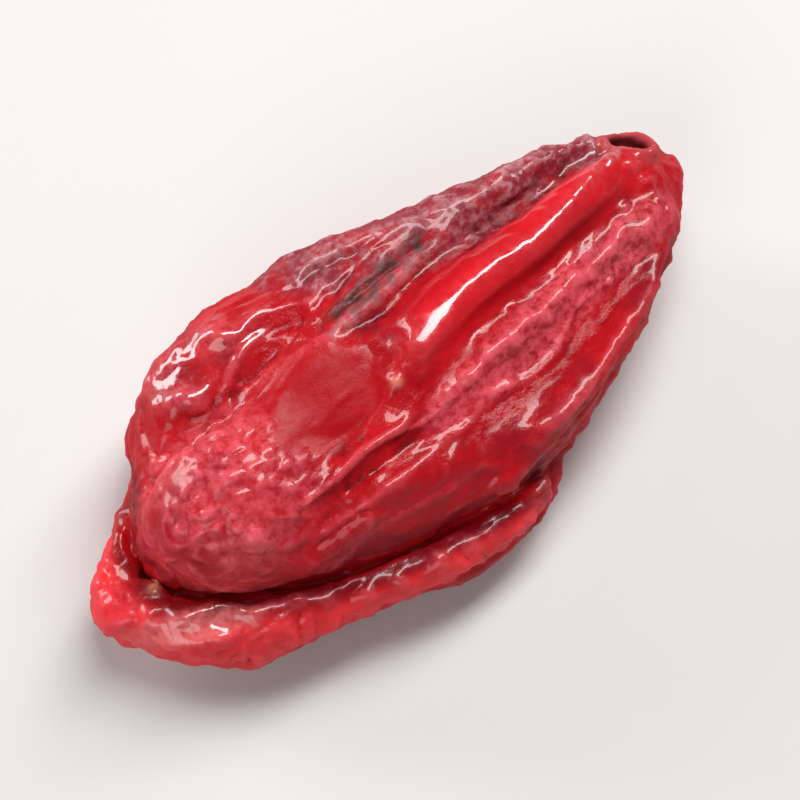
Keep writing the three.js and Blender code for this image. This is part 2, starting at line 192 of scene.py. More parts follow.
upperLayer = {
    "reach": reachOf(form["upperOutline"]),
    "level": levelOf(2.25, -0.15, 0.15),
    "crown": lambda x: form["crownHeight"] - form["crownFall"] * (x + 1) ** 2,
    "under": lambda x: 0.03 * np.maximum(x - 2, 0) ** 2 + 0.02 * np.maximum(-3 - x, 0) ** 2,
    "roundness": 2.15,
}
lowerLayer = {
    "reach": reachOf(form["lowerOutline"]),
    "level": levelOf(1.1, 0, -0.15),
    "crown": lambda x: form["lipHeight"] + 0 * x,
    "under": lambda x: (0.03 * np.maximum(-3 - x, 0) ** 2 + 0.06 * np.maximum(x - 2.5, 0) ** 2
                        - form["restDepth"]),
    "roundness": 2.2,
}


# 1 on the surface of a layer, less inside it
def cushion(layer, x, y, z):
    angle = np.arctan2(y, x)
    level = layer["level"](angle)
    across = np.hypot(x, y) / np.interp(angle, *layer["reach"], period=2 * math.pi)
    limit = np.where(z > level, layer["crown"](x), layer["under"](x))
    up = np.abs((z - level) / (limit - level))
    return (across ** layer["roundness"] + up ** layer["roundness"]) ** (1 / layer["roundness"])


def layerDistance(layer, p):
    step, leastSlope = 0.01, 0.05
    x, y, z = p.T
    value = cushion(layer, x, y, z)
    slope = np.sqrt((cushion(layer, x + step, y, z) - value) ** 2
                    + (cushion(layer, x, y + step, z) - value) ** 2
                    + (cushion(layer, x, y, z + step) - value) ** 2) / step
    return (value - 1) / np.maximum(slope, leastSlope)


def topOf(layer, x, y):
    angle = np.arctan2(y, x)
    across = np.minimum(np.hypot(x, y) / np.interp(angle, *layer["reach"], period=2 * math.pi), 1)
    level, power = layer["level"](angle), layer["roundness"]
    return level + (layer["crown"](x) - level) * (1 - across ** power) ** (1 / power)


# distance to a rope of changing radius, and infinity where its box is farther off than reach
def ropeDistance(rope, p, reach):
    radius = rope[:, 3].max()
    low, high = rope[:, :3].min(0) - radius, rope[:, :3].max(0) + radius
    away = np.maximum(np.maximum(low - p, p - high), 0)
    close = np.einsum("ij,ij->i", away, away) <= np.maximum(reach, 0) ** 2
    best = np.full(len(p), np.inf)
    q = p[close]
    if not len(q):
        return best
    nearest = np.full(len(q), np.inf)
    for a, b in zip(rope[:-1], rope[1:]):
        d = (b - a)[:3]
        t = np.clip((q - a[:3]) @ d / (d @ d), 0, 1)
        gap = q - a[:3] - t[:, None] * d
        nearest = np.minimum(nearest, np.sqrt(np.einsum("ij,ij->i", gap, gap)) - a[3] - t * (b[3] - a[3]))
    best[close] = nearest
    return best


def eggDistance(centre, size, p):
    off = p - np.array(centre)
    size = np.array(size)
    near = np.linalg.norm(off / size, axis=1)
    slope = np.maximum(np.linalg.norm(off / size ** 2, axis=1), 1e-9)
    return near * (near - 1) / slope


def onTop(points, sign):
    return smoothLine([(x, y, topOf(upperLayer, x, y) + sign * (amount - radius), radius)
                       for x, y, amount, radius in points])


def onSide(points):
    axis, closeEnough = form["foldAxis"], 1e-4
    placed = []
    for x, bearing, depth, radius in points:
        y0, z0 = axis["sideways"] * max(x, 0), axis["height"] + axis["climb"] * x
        c, s = math.cos(math.radians(bearing)), math.sin(math.radians(bearing))
        inside, outside = 0, 8
        while outside - inside > closeEnough:
            r = (inside + outside) / 2
            if min(cushion(layer, x, y0 + r * c, z0 + r * s) for layer in (upperLayer, lowerLayer)) < 1:
                inside = r
            else:
                outside = r
        r = outside + radius - depth
        placed.append((x, y0 + r * c, z0 + r * s, radius))
    return smoothLine(placed)


ridgeRopes = {name: onTop(points, 1) for name, points in form["ridges"].items()}
grooveRopes = {name: onTop(points, -1) for name, points in form["grooves"].items()}
foldRopes = {name: onSide(points) for name, points in form["folds"].items()}
lipRope = smoothLine(form["lipRoll"])
creaseRopes = [smoothLine(form["crease"]) + (0, 0, rise, 0) for rise in form["creaseRises"]]

scarCentre = np.array(form["scar"]["centre"])
scarFacing = np.array(form["scar"]["facing"]) / np.linalg.norm(form["scar"]["facing"])
scarSide = np.cross((0, 0, 1), scarFacing)
scarSide /= np.linalg.norm(scarSide)
scarAxes = np.array((scarSide, np.cross(scarFacing, scarSide), scarFacing))
rimLength, rimWidth = (form["scar"][side] + form["scar"]["rim"] / 2 for side in ("halfLength", "halfWidth"))
rimRope = smoothLine([
    (*(scarCentre + rimLength * math.cos(a) * scarAxes[0] + rimWidth * math.sin(a) * scarAxes[1]),
     form["scar"]["rim"])
    for a in np.linspace(0, 2 * math.pi, 13)
])


def cupDistance(p):
    size = (form["scar"]["halfLength"], form["scar"]["halfWidth"], form["scar"]["depth"])
    return eggDistance((0, 0, 0), size, (p - scarCentre) @ scarAxes.T)


def bulkDistance(name, p):
    return eggDistance(form[name]["centre"], form[name]["size"], p)


# below zero inside the flesh
def fleshDistance(p):
    def join(whole, rope, soft):
        return smoothUnion(whole, ropeDistance(rope, p, whole + soft), soft)

    def cut(whole, rope, soft):
        return smoothCut(whole, ropeDistance(rope, p, soft - whole), soft)

    upper = layerDistance(upperLayer, p)
    for rope in ridgeRopes.values():
        upper = join(upper, rope, form["ridgeBlend"] * rope[:, 3].max())
    upper = smoothUnion(upper, bulkDistance("dome", p), form["dome"]["soft"])
    for rope in grooveRopes.values():
        upper = cut(upper, rope, form["grooveBlend"] * rope[:, 3].max())
    upper = smoothCut(upper, bulkDistance("hollow", p), form["hollow"]["soft"])
    lower = join(layerDistance(lowerLayer, p), lipRope, form["lipBlend"])
    whole = smoothUnion(upper, lower, form["layerBlend"])
    for rope in creaseRopes:
        whole = cut(whole, rope, form["creaseBlend"])
    for rope in foldRopes.values():
        whole = cut(whole, rope, form["grooveBlend"] * rope[:, 3].max())
    return smoothCut(join(whole, rimRope, form["rimBlend"]), cupDistance(p), form["cupBlend"])


# The skin mesh: one vertex in each small cell that the surface passes through. Blocks of cells that are
# farther than reach from the surface take the value of their middle.
skinMesh = {
    "low": (-8.96, -4.9, -0.7), "high": (8.96, 4.76, 6.02), "cell": 0.07, "block": 4, "reach": 0.46,
    "settled": 2,  # times
    "softened": 0.3,  # share by which the wrinkled skin is evened
    "pulledBack": 0.65,  # share of what sticks out of the plain form's box
}


def gridValues():
    cell, block = skinMesh["cell"], skinMesh["block"]
    low = np.array(skinMesh["low"])
    blocks = np.ceil((np.array(skinMesh["high"]) - low) / (cell * block)).astype(int)
    middle = np.stack(np.meshgrid(*[np.arange(n) for n in blocks], indexing="ij"), -1).reshape(-1, 3)
    rough = fleshDistance(low + (middle + 0.5) * cell * block)
    values = np.repeat(np.repeat(np.repeat(rough.reshape(blocks), block, 0), block, 1), block, 2)
    within = np.stack(np.meshgrid(*[np.arange(block)] * 3, indexing="ij"), -1).reshape(-1, 3)
    near = middle[np.abs(rough) < skinMesh["reach"]]
    fine = (near[:, None] * block + within).reshape(-1, 3)
    values[tuple(fine.T)] = fleshDistance(low + fine * cell)
    return values, low


def skinSurface():
    values, low = gridValues()
    inside = values < 0
    size = np.array(values.shape)
    corner = np.array([(a, b, c) for a in (0, 1) for b in (0, 1) for c in (0, 1)])
    count = sum(inside[a:size[0] - 1 + a, b:size[1] - 1 + b, c:size[2] - 1 + c].astype(np.int8)
                for a, b, c in corner)
    cells = np.argwhere((count > 0) & (count < 8))
    number = np.full(size - 1, -1)
    number[tuple(cells.T)] = np.arange(len(cells))
    at = [values[tuple((cells + c).T)] for c in corner]
    total, hits = np.zeros((len(cells), 3)), np.zeros(len(cells))
    for i in range(8):
        for bit in (1, 2, 4):
            if i & bit:
                continue
            j = i | bit
            crossed = (at[i] < 0) != (at[j] < 0)
            t = at[i][crossed] / (at[i][crossed] - at[j][crossed])
            total[crossed] += corner[i] + t[:, None] * (corner[j] - corner[i])
            hits[crossed] += 1
    points = low + (cells + total / hits[:, None]) * skinMesh["cell"]
    quads = []
    for axis in range(3):
        step = np.eye(3, dtype=int)
        u, v = step[(axis + 1) % 3], step[(axis + 2) % 3]
        core = tuple(slice(1, n - 1) for n in size)
        ahead = tuple(slice(1 + step[axis][k], size[k] - 1 + step[axis][k]) for k in range(3))
        changed = np.argwhere(inside[core] != inside[ahead]) + 1
        ring = np.stack([number[tuple((changed - d).T)] for d in (u + v, v, 0 * u, u)], 1)
        flip = ~inside[tuple(changed.T)]
        ring[flip] = ring[flip][:, ::-1]
        quads.append(ring)
    return points, np.concatenate(quads)


def normalsOf(points, quads):
    a, b, c, d = (points[quads[:, k]] for k in range(4))
    facing = np.cross(c - a, d - b)
    total = np.stack([np.bincount(quads.ravel(), np.repeat(part, 4), len(points)) for part in facing.T], 1)
    return total / np.maximum(np.linalg.norm(total, axis=1), 1e-12)[:, None]


def edgesOf(quads):
    pairs = np.concatenate([quads[:, [0, 1]], quads[:, [1, 2]], quads[:, [2, 3]], quads[:, [3, 0]]])
    return np.unique(np.sort(pairs, 1), axis=0)


def evened(values, edges, times, share=0.5):
    count = len(values)
    degree = np.bincount(edges.ravel(), minlength=count)
    flat = values.reshape(count, -1)
    for _ in range(times):
        around = np.stack([np.bincount(edges[:, 0], column[edges[:, 1]], count)
                           + np.bincount(edges[:, 1], column[edges[:, 0]], count) for column in flat.T], 1)
        flat = flat + share * (around / degree[:, None] - flat)
    return flat.reshape(values.shape)


# Gradient noise on a hashed lattice: the same on every run.
hashing = {"steps": (374761393, 668265263, 1274126177), "seedStep": 97531,
           "mixers": ((13, 1103515245), (15, 668265263)), "lastShift": 16, "kept": 0xFFFFFFFF}
gradients = np.array([(1, 1, 0), (-1, 1, 0), (1, -1, 0), (-1, -1, 0), (1, 0, 1), (-1, 0, 1), (1, 0, -1),
                      (-1, 0, -1), (0, 1, 1), (0, -1, 1), (0, 1, -1), (0, -1, -1)], float)


def noise(p, seed):
    base = np.floor(p)
    f = p - base
    cell = base.astype(np.int64)
    fade = f * f * f * (f * (f * 6 - 15) + 10)
    total = np.zeros(len(p))
    for a in (0, 1):
        for b in (0, 1):
            for c in (0, 1):
                key = (cell + (a, b, c)) * hashing["steps"]
                mixed = (key.sum(1) + seed * hashing["seedStep"]) & hashing["kept"]
                for shift, factor in hashing["mixers"]:
                    mixed = ((mixed ^ (mixed >> shift)) * factor) & hashing["kept"]
                slope = gradients[(mixed ^ (mixed >> hashing["lastShift"])) % len(gradients)]
                weight = np.prod(np.where((a, b, c), fade, 1 - fade), axis=1)
                total += weight * np.einsum("ij,ij->i", slope, f - (a, b, c))
    return total


# Furrows along winding lines with round swells between them, about 0 on the whole.
def swells(p, seed, soft=0.08, gain=2.4, middle=0.55):
    return gain * np.sqrt(noise(p, seed) ** 2 + soft ** 2) - middle


# The other way up: thin crests along winding lines.
def crests(p, seed, soft=0.06, middle=0.2):
    return np.exp(-(noise(p, seed) / (2 * soft)) ** 2) - middle


wrinkles = {
    # the winding of the wrinkles, and the most that one stands out
    "warpSize": 2.2, "warp": 0.45, "warpSeed": 7, "warpApart": 17.3, "mostOut": 0.11,
    "windowTilt": 0.15, "tiltFrom": 1.2, "windowFilled": 1.0, "slotClosed": 0.05,
    # 1 where the skin wrinkles in full, less where it is smooth or lies on top
    "calm": lambda top, zone: np.clip((1 - 0.35 * top) * (1 - 0.85 * zone["window"] - 0.9 * zone["calyx"]
                                                          - 0.4 * zone["low"] - 0.5 * zone["gloss"])
                                      - 0.9 * zone["scar"], 0.03, 1),
    # sizes and heights in millimetres, and the share that each place has of them
    "kinds": {
        "folds": {
            "size": (3.0, 0.9, 0.9), "height": 0.15, "seed": 3, "shape": swells,
            "share": lambda calm, zone: calm * (1 - 0.5 * zone["lip"] - 0.5 * zone["dome"]
                                                - 0.7 * zone["rib"]),
        },
        "creases": {
            "size": (1.5, 0.6, 0.6), "height": 0.06, "seed": 11, "shape": crests,
            "share": lambda calm, zone: calm * (1 - 0.3 * zone["lip"]),
        },
        "crinkle": {
            "size": (0.56, 0.4, 0.4), "height": 0.055, "seed": 23, "shape": swells,
            "share": lambda calm, zone: calm * (0.8 + 0.6 * zone["dome"] + 0.4 * zone["rib"]
                                                + 0.3 * zone["band"]),
        },
        "grain": {
            "size": (0.3, 0.25, 0.25), "height": 0.024, "seed": 31, "shape": crests,
            "share": lambda calm, zone: 0.1 + 0.9 * calm,
        },
        "lipBeads": {
            "size": (0.4, 0.9, 0.9), "height": 0.1, "seed": 41, "shape": swells,
            "share": lambda calm, zone: 0.8 * zone["lip"],
        },
    },
    # The plainest wrinkles of the top, as seen 16.5 degrees off overhead: x, y, height and half width.
    "lines": {
        "shoulderRim": [(-4.95, 2.95, 0.0, 0.12), (-4.2, 3.26, 0.15, 0.16), (-3.2, 3.5, 0.13, 0.16),
                        (-2.8, 3.6, 0, 0.12)],
        "shoulderLeft": [(-4.0, 2.8, 0.06, 0.2), (-3.5, 2.62, 0.14, 0.26), (-3.3, 2.25, 0.1, 0.2)],
        "shoulderTop": [(-2.9, 3.15, 0.0, 0.2), (-2.3, 3.3, 0.14, 0.3), (-1.8, 3.0, 0.12, 0.2),
                        (-1.4, 3.1, 0.1, 0.16), (-0.6, 3.3, 0, 0.12)],
        "shoulderLow": [(-2.9, 2.05, 0.0, 0.09), (-2.4, 2.42, 0.08, 0.1), (-1.8, 2.68, 0.08, 0.1),
                        (-1.1, 2.76, 0, 0.1)],
        "windowTop": [(-2.8, 1.72, 0.0, 0.1), (-1.9, 1.88, 0.08, 0.12), (-1.0, 1.95, 0.07, 0.12),
                      (-0.2, 1.85, 0.05, 0.12), (0.6, 1.9, 0.0, 0.1)],
        "windowFine": [(-1.9, 0.35, 0.0, 0.07), (-1.0, 0.55, 0.02, 0.07), (-0.2, 0.5, 0.0, 0.07)],
        "ridgeShine": [(0.7, 0.6, 0.0, 0.26), (1.3, 0.66, 0.08, 0.3), (1.9, 0.8, 0.05, 0.26),
                       (2.6, 0.98, 0.05, 0.2), (3.6, 0.98, 0.05, 0.2), (4.5, 0.9, 0.06, 0.22),
                       (5.4, 1.08, 0.05, 0.2), (6.3, 1.28, 0.07, 0.2), (6.9, 1.35, 0.0, 0.2)],
        "thin": [(-3.0, -0.68, 0.0, 0.07), (-2.6, -0.68, 0.1, 0.08), (-1.9, -0.66, 0.11, 0.08),
                 (-1.0, -0.55, 0.11, 0.08), (-0.3, -0.6, 0.08, 0.08), (0.3, -0.78, 0.1, 0.08),
                 (1.0, -0.72, 0.06, 0.08)],
        "thinShade": [(-2.7, -0.95, 0.0, 0.12), (-1.6, -1.0, -0.08, 0.13), (-0.4, -1.0, -0.08, 0.13),
                      (0.7, -1.1, 0.0, 0.12)],
        "under": [(1.2, -1.1, 0.0, 0.1), (1.9, -1.2, 0.07, 0.12), (2.7, -1.4, 0.06, 0.12),
                  (3.4, -1.33, 0.07, 0.12), (3.9, -1.0, 0.09, 0.1), (4.5, -0.72, 0.08, 0.1),
                  (5.1, -0.75, 0.05, 0.1), (6.1, -0.6, 0.06, 0.1), (6.8, -0.25, 0.0, 0.1)],
        "valleyHigh": [(-3.2, -1.5, 0.0, 0.1), (-2.5, -1.42, 0.06, 0.1), (-1.2, -1.48, 0.06, 0.1),
                       (0.9, -1.42, 0.03, 0.1), (1.6, -1.6, 0.0, 0.1)],
        "valleyCross": [(-2.1, -2.0, 0.0, 0.08), (-1.75, -1.7, 0.06, 0.08), (-1.5, -1.5, 0.0, 0.08)],
        "valleyLow": [(-3.9, -1.95, 0.0, 0.12), (-3.0, -2.12, 0.07, 0.13), (-2.2, -2.0, 0.08, 0.14),
                      (-1.2, -2.05, 0.06, 0.13), (0.2, -2.3, 0.03, 0.12), (1.4, -2.2, 0.0, 0.1)],
        "edgeFold": [(1.8, -2.75, 0.0, 0.12), (2.7, -2.45, 0.09, 0.14), (3.4, -2.38, 0.09, 0.13),
                     (4.1, -2.1, 0.07, 0.1), (5.2, -1.7, 0.0, 0.1)],
        "bandHigh": [(-0.3, 3.3, 0.0, 0.12), (0.4, 3.35, 0.07, 0.13), (1.2, 3.2, 0.08, 0.12),
                     (2.0, 2.95, 0.08, 0.12), (3.1, 2.65, 0.07, 0.12), (3.9, 2.45, 0.05, 0.1),
                     (4.5, 2.35, 0.09, 0.11), (5.1, 2.45, 0.09, 0.1), (5.9, 2.2, 0.0, 0.1)],
        "bandLow": [(-0.4, 1.75, 0.0, 0.14), (0.3, 1.88, 0.07, 0.15), (1.4, 1.95, 0.08, 0.13),
                    (2.2, 2.06, 0.08, 0.12), (3.4, 2.05, 0.04, 0.1), (4.6, 2.0, 0.06, 0.1),
                    (5.6, 2.0, 0.0, 0.1)],
        "lipTop": [(-7.3, -0.85, 0.0, 0.12), (-6.4, -1.1, 0.08, 0.14), (-5.5, -1.4, 0.09, 0.12),
                   (-5.0, -1.95, 0.07, 0.12), (-4.1, -2.3, 0.07, 0.12), (-3.4, -2.75, 0.0, 0.12)],
        "lipMiddle": [(-7.4, -1.2, 0.0, 0.12), (-6.7, -1.6, 0.07, 0.14), (-5.9, -1.95, 0.06, 0.13),
                      (-5.0, -2.45, 0, 0.12)],
        "lipLow": [(-6.7, -2.3, 0.0, 0.12), (-5.8, -2.8, 0.07, 0.14), (-5.1, -3.0, 0.06, 0.12),
                   (-4.2, -3.15, 0, 0.1)],
        "lipEnd": [(-0.1, -4.05, 0.0, 0.12), (0.9, -3.85, 0.08, 0.12), (1.6, -3.45, 0.07, 0.12),
                   (2.4, -3.1, 0, 0.1)],
    },
    # x, y, height and half width
    "beads": [
        (-4.8, 1.7, 0.1, 0.2), (-2.05, 3.2, 0.12, 0.34), (-3.36, 2.5, 0.1, 0.3), (-4.0, -0.65, 0.19, 0.26),
        (-3.85, -0.9, 0.06, 0.16), (-4.1, 1.2, 0.07, 0.16), (-3.3, 1.5, 0.06, 0.14), (-3.1, 1.1, 0.07, 0.14),
        (-3.6, 0.65, 0.06, 0.18), (-2.8, 1.4, 0.06, 0.13), (-2.35, 1.1, 0.06, 0.14), (-3.1, 0.25, 0.05, 0.16),
        (-4.6, 0.4, 0.06, 0.2), (0.35, 0.22, 0.07, 0.13), (1.1, -0.6, 0.08, 0.15), (1.65, -0.6, 0.12, 0.2),
        (2.3, -0.42, 0.08, 0.18), (2.9, -0.65, 0.1, 0.18), (3.3, -0.25, 0.09, 0.2), (3.7, -0.58, 0.09, 0.16),
        (4.25, -0.25, 0.06, 0.18), (4.7, -0.2, 0.11, 0.18), (5.05, -0.5, 0.08, 0.15),
        (5.3, -0.78, 0.07, 0.14), (5.75, -0.25, 0.1, 0.18), (6.2, 0.0, 0.08, 0.16), (6.5, 0.3, 0.07, 0.14),
        (2.2, -1.2, 0.07, 0.17), (-6.4, -0.3, 0.1, 0.17), (-7.6, -0.5, 0.06, 0.2), (-5.0, -2.0, 0.05, 0.16),
        (-4.1, -2.3, 0.06, 0.18), (-2.8, -3.1, 0.07, 0.15), (-2.1, -3.3, 0.08, 0.16),
        (-1.95, -3.6, 0.06, 0.16), (-1.2, -3.4, 0.11, 0.19), (-0.7, -3.1, 0.06, 0.14),
        (-0.42, -3.62, 0.1, 0.2), (1.0, -2.0, 0.05, 0.14), (0.9, -1.42, 0.04, 0.14), (1.4, -3.0, 0.05, 0.14),
        (0.4, -3.2, 0.05, 0.16), (-4.6, -2.5, 0.05, 0.15), (-3.6, -2.75, 0.05, 0.15),
        (3.05, 2.65, 0.05, 0.14), (0.3, 2.8, 0.06, 0.18), (7.05, 1.75, 0.07, 0.14), (7.35, 1.65, 0.06, 0.12),
        (7.75, 1.25, 0.07, 0.13), (7.85, 0.95, 0.08, 0.13), (7.25, 0.95, 0.06, 0.14),
        (6.95, 1.35, 0.06, 0.14),
    ],
}

# The direction that the top is seen from. In plan a place moves along slant, by lean for each mm above level,
# and what lies along slant is drawn together by squeeze.
view = {"towards": (-0.168, -0.229, 0.959), "slant": (0.574, 0.819), "lean": 0.296, "level": 2,
        "squeeze": 0.043}


# plan positions as they are seen from that direction
def seenFlat(p):
    slant = np.array(view["slant"])
    moved = view["lean"] * (p[:, 2] - view["level"]) - view["squeeze"] * (p[:, :2] @ slant)
    return p[:, :2] + moved[:, None] * slant


def lineGap(flat, points):
    best = np.full(len(flat), np.inf)
    for a, b in zip(np.array(points[:-1]), np.array(points[1:])):
        t = np.clip((flat - a) @ (b - a) / ((b - a) @ (b - a)), 0, 1)
        best = np.minimum(best, np.linalg.norm(flat - a - t[:, None] * (b - a), axis=1))
    return best


# Height of the drawn wrinkles at each place of the flat view.
def drawnLift(flat):
    margin = 0.6  # farther off a line adds nothing
    total = np.zeros(len(flat))
    for points in wrinkles["lines"].values():
        line = smoothLine(points, pieces=6)
        sign = np.sign(line[:, 2].sum())
        close = np.all((flat > line[:, :2].min(0) - margin) & (flat < line[:, :2].max(0) + margin), axis=1)
        q, lift = flat[close], np.zeros(close.sum())
        for a, b in zip(line[:-1], line[1:]):
            d = b[:2] - a[:2]
            t = np.clip((q - a[:2]) @ d / (d @ d), 0, 1)
            gap = np.linalg.norm(q - a[:2] - t[:, None] * d, axis=1)
            height, width = sign * (a[2] + t * (b[2] - a[2])), a[3] + t * (b[3] - a[3])
            lift = np.maximum(lift, height * np.exp(-(gap / width) ** 2))
        total[close] += sign * lift
    for x, y, height, width in wrinkles["beads"]:
        total += height * np.exp(-((flat[:, 0] - x) ** 2 + (flat[:, 1] - y) ** 2) / width ** 2)
    return total


# Where the skin looks or wrinkles in its own way, and where light and shade are painted on it. Distances and
# places in millimetres.
zones = {
    # distances from its form, line or spot at which each zone begins and ends to fade
    "fades": {
        "lip": (0.05, 0.35), "calyx": (-0.15, 0.3), "band": (0.15, 0.7), "stain": (0.0, 0.24),
        "dome": (0.1, 0.6), "rib": (-0.08, 0.26), "low": (0.2, 0.8), "scar": (-0.05, 0.12),
        "rim": (0.0, 0.14), "paintedNookShade": (0.12, 0.75), "slot": (0.0, 0.12), "paintedShade": (0.05, 0.36),
        "paintedStreakHighlight": (0.06, 0.22), "hollow": (0.02, 0.15),
    },
    "farthest": 3.0,  # up to which the distance to a rope is measured
    # limits of some zones: from and to which X, height, or distance to the lower layer beyond the upper one's
    "calyxFrom": (0.2, 1.2), "bandAbove": (1.6, 3.0), "paintedNookShadeAbove": (1.6, 2.1), "windowAbove": (3.6, 4.0),
    "lipBelow": (0.2, -0.25),
    "domeSize": (1.9, 1.5, 1.8),  # half sizes of the dome's pink cap
    # ovals of the flat view: centre, half sizes, how far each axis leans with the other, and the shares of
    # the half sizes between which they fade
    "window": {"centre": (-1.05, 0.75), "size": (1.35, 1.15), "lean": (0, 0), "fade": (0.6, 1.2)},
    # painted sheen: a pale patch on the lip's upper facet
    "lipPaintedSheen": {"centre": (-6.3, -1.4), "size": (1.1, 0.42), "lean": (0.6, 0.35), "fade": (0.6, 1.2)},
    "gloss": {"centre": (-2.7, 3.0), "size": (2.0, 0.75), "lean": (0, 0), "fade": (0.5, 1.2)},
    # how far the window's edge wanders, and over what length
    "ragged": 0.22, "raggedSize": 0.9, "raggedSeeds": (51, 52),
    # painted highlight: the pale streak on the lit underside of the stained groove
    "paintedStreakHighlight": [(-0.1, 1.8), (0.6, 1.9), (1.3, 1.95), (2.3, 2.06)],
    "spots": [(0.35, 0.22), (-6.45, -0.32)], "spotSize": 0.11,
    # painted shade: deeper red along the valleys between the ridges
    "paintedShades": [
        [(1.0, -1.6), (2.5, -1.6), (4.0, -1.42), (5.6, -0.95)],
        [(-1.5, 2.4), (-1.0, 2.6), (-0.5, 2.65)],
        [(1.0, 1.35), (3.0, 1.5), (5.0, 1.7)],
        [(0.4, -0.3), (2.0, -0.12), (4.0, 0.25), (6.0, 0.62)],
        [(-5.4, 0.9), (-5.5, 0.2), (-5.1, -0.7)],
    ],
    # share of facing the view, and of facing up, from and to which the skin counts as top or as upward
    "top": (-0.1, 0.5), "upward": (0.6, 0.82), "upwardOver": 2,
    # heights at which a drawn wrinkle, or a rise over the surroundings, counts in full, and how many times
    # the skin is evened to find those surroundings
    "drawnFull": 0.09, "riseFull": 0.05, "riseOver": 14,
}


def fading(name, distance):
    return 1 - smoothStep(*zones["fades"][name], distance)


def oval(name, flat):
    kind = zones[name]
    off = flat - kind["centre"]
    leaned = off + off[:, ::-1] * kind["lean"]
    return 1 - smoothStep(*kind["fade"], np.hypot(*(leaned / kind["size"]).T))


def spotted(off):
    return np.exp(-(np.hypot(*off.T) / zones["spotSize"]) ** 2)


def skinZones(p):
    def near(name, rope):
        return fading(name, ropeDistance(rope, p, zones["farthest"]))

    lower, upper = layerDistance(lowerLayer, p), layerDistance(upperLayer, p)
    flat = seenFlat(p)
    x, z = p[:, 0], p[:, 2]
    shifts = [noise(p / zones["raggedSize"], seed) for seed in zones["raggedSeeds"]]
    ragged = flat + zones["ragged"] * np.stack(shifts, 1)
    return {
        "lip": near("lip", lipRope) * smoothStep(*zones["lipBelow"], lower - upper),
        "window": oval("window", ragged) * smoothStep(*zones["windowAbove"], z),
        "calyx": near("calyx", ridgeRopes["calyx"]) * smoothStep(*zones["calyxFrom"], x),
        "band": near("band", ridgeRopes["darkBand"]) * smoothStep(*zones["bandAbove"], z),
        "stain": near("stain", grooveRopes["stained"]),
        "dome": fading("dome", eggDistance(form["dome"]["centre"], zones["domeSize"], p)),
        "rib": near("rib", ridgeRopes["wrinkled"]),
        "low": near("low", grooveRopes["lower"]),
        "scar": fading("scar", cupDistance(p)),
        "rim": near("rim", rimRope),
        # painted sheen on the lip's upper facet
        "lipPaintedSheen": oval("lipPaintedSheen", flat),
        "gloss": oval("gloss", flat),
        # painted shade: the nook between the lip and the dome
        "paintedNookShade": near("paintedNookShade", creaseRopes[1]) * smoothStep(*zones["paintedNookShadeAbove"], z),
        "slot": np.max([near("slot", rope) for rope in creaseRopes], axis=0),
        # painted shade along the valleys between the ridges
        "paintedShade": np.max([fading("paintedShade", lineGap(flat, line)) for line in zones["paintedShades"]], axis=0),
        # painted highlight along the lit underside of the stained groove
        "paintedStreakHighlight": fading("paintedStreakHighlight", lineGap(flat, zones["paintedStreakHighlight"])),
        "spot": np.max([spotted(flat - at) for at in zones["spots"]], axis=0),
    }


# how far the hollow goes in below the rest of the top
def hollowDepth(p):
    domed = smoothUnion(layerDistance(upperLayer, p), bulkDistance("dome", p), form["dome"]["soft"])
    return np.maximum(-domed, 0) * fading("hollow", bulkDistance("hollow", p))


def wrinkled(points, quads, zone):
    top = smoothStep(*zones["top"], normalsOf(points, quads) @ np.array(view["towards"]))
    calm = wrinkles["calm"](top, zone)
    bend = [noise(points / wrinkles["warpSize"] + k * wrinkles["warpApart"], wrinkles["warpSeed"] + k)
            for k in range(3)]
    warped = points + wrinkles["warp"] * np.stack(bend, 1)
    flat = seenFlat(points)
    drawn = (drawnLift(flat) * top
             + wrinkles["windowTilt"] * zone["window"] * (flat[:, 1] - wrinkles["tiltFrom"]))
    zone["drawn"] = np.clip(drawn / zones["drawnFull"], 0, 1)
    drawn += wrinkles["windowFilled"] * hollowDepth(points) + wrinkles["slotClosed"] * zone["slot"]
    for kind in wrinkles["kinds"].values():
        noisy = kind["shape"](warped / np.array(kind["size"]), kind["seed"])
        lift = kind["height"] * kind["share"](calm, zone) * noisy
        lift = np.where(lift > 0, wrinkles["mostOut"] * np.tanh(lift / wrinkles["mostOut"]), lift)
        points = points + normalsOf(points, quads) * lift[:, None]
    return points + normalsOf(points, quads) * drawn[:, None]


# pulls back what sticks out of the plain form's box
def heldIn(points, plain):
    for beyond in (points - plain.max(0), points - plain.min(0)):
        sign = 1 if beyond.mean() < 0 else -1
        points = points - skinMesh["pulledBack"] * sign * np.maximum(sign * beyond, 0)
    return points


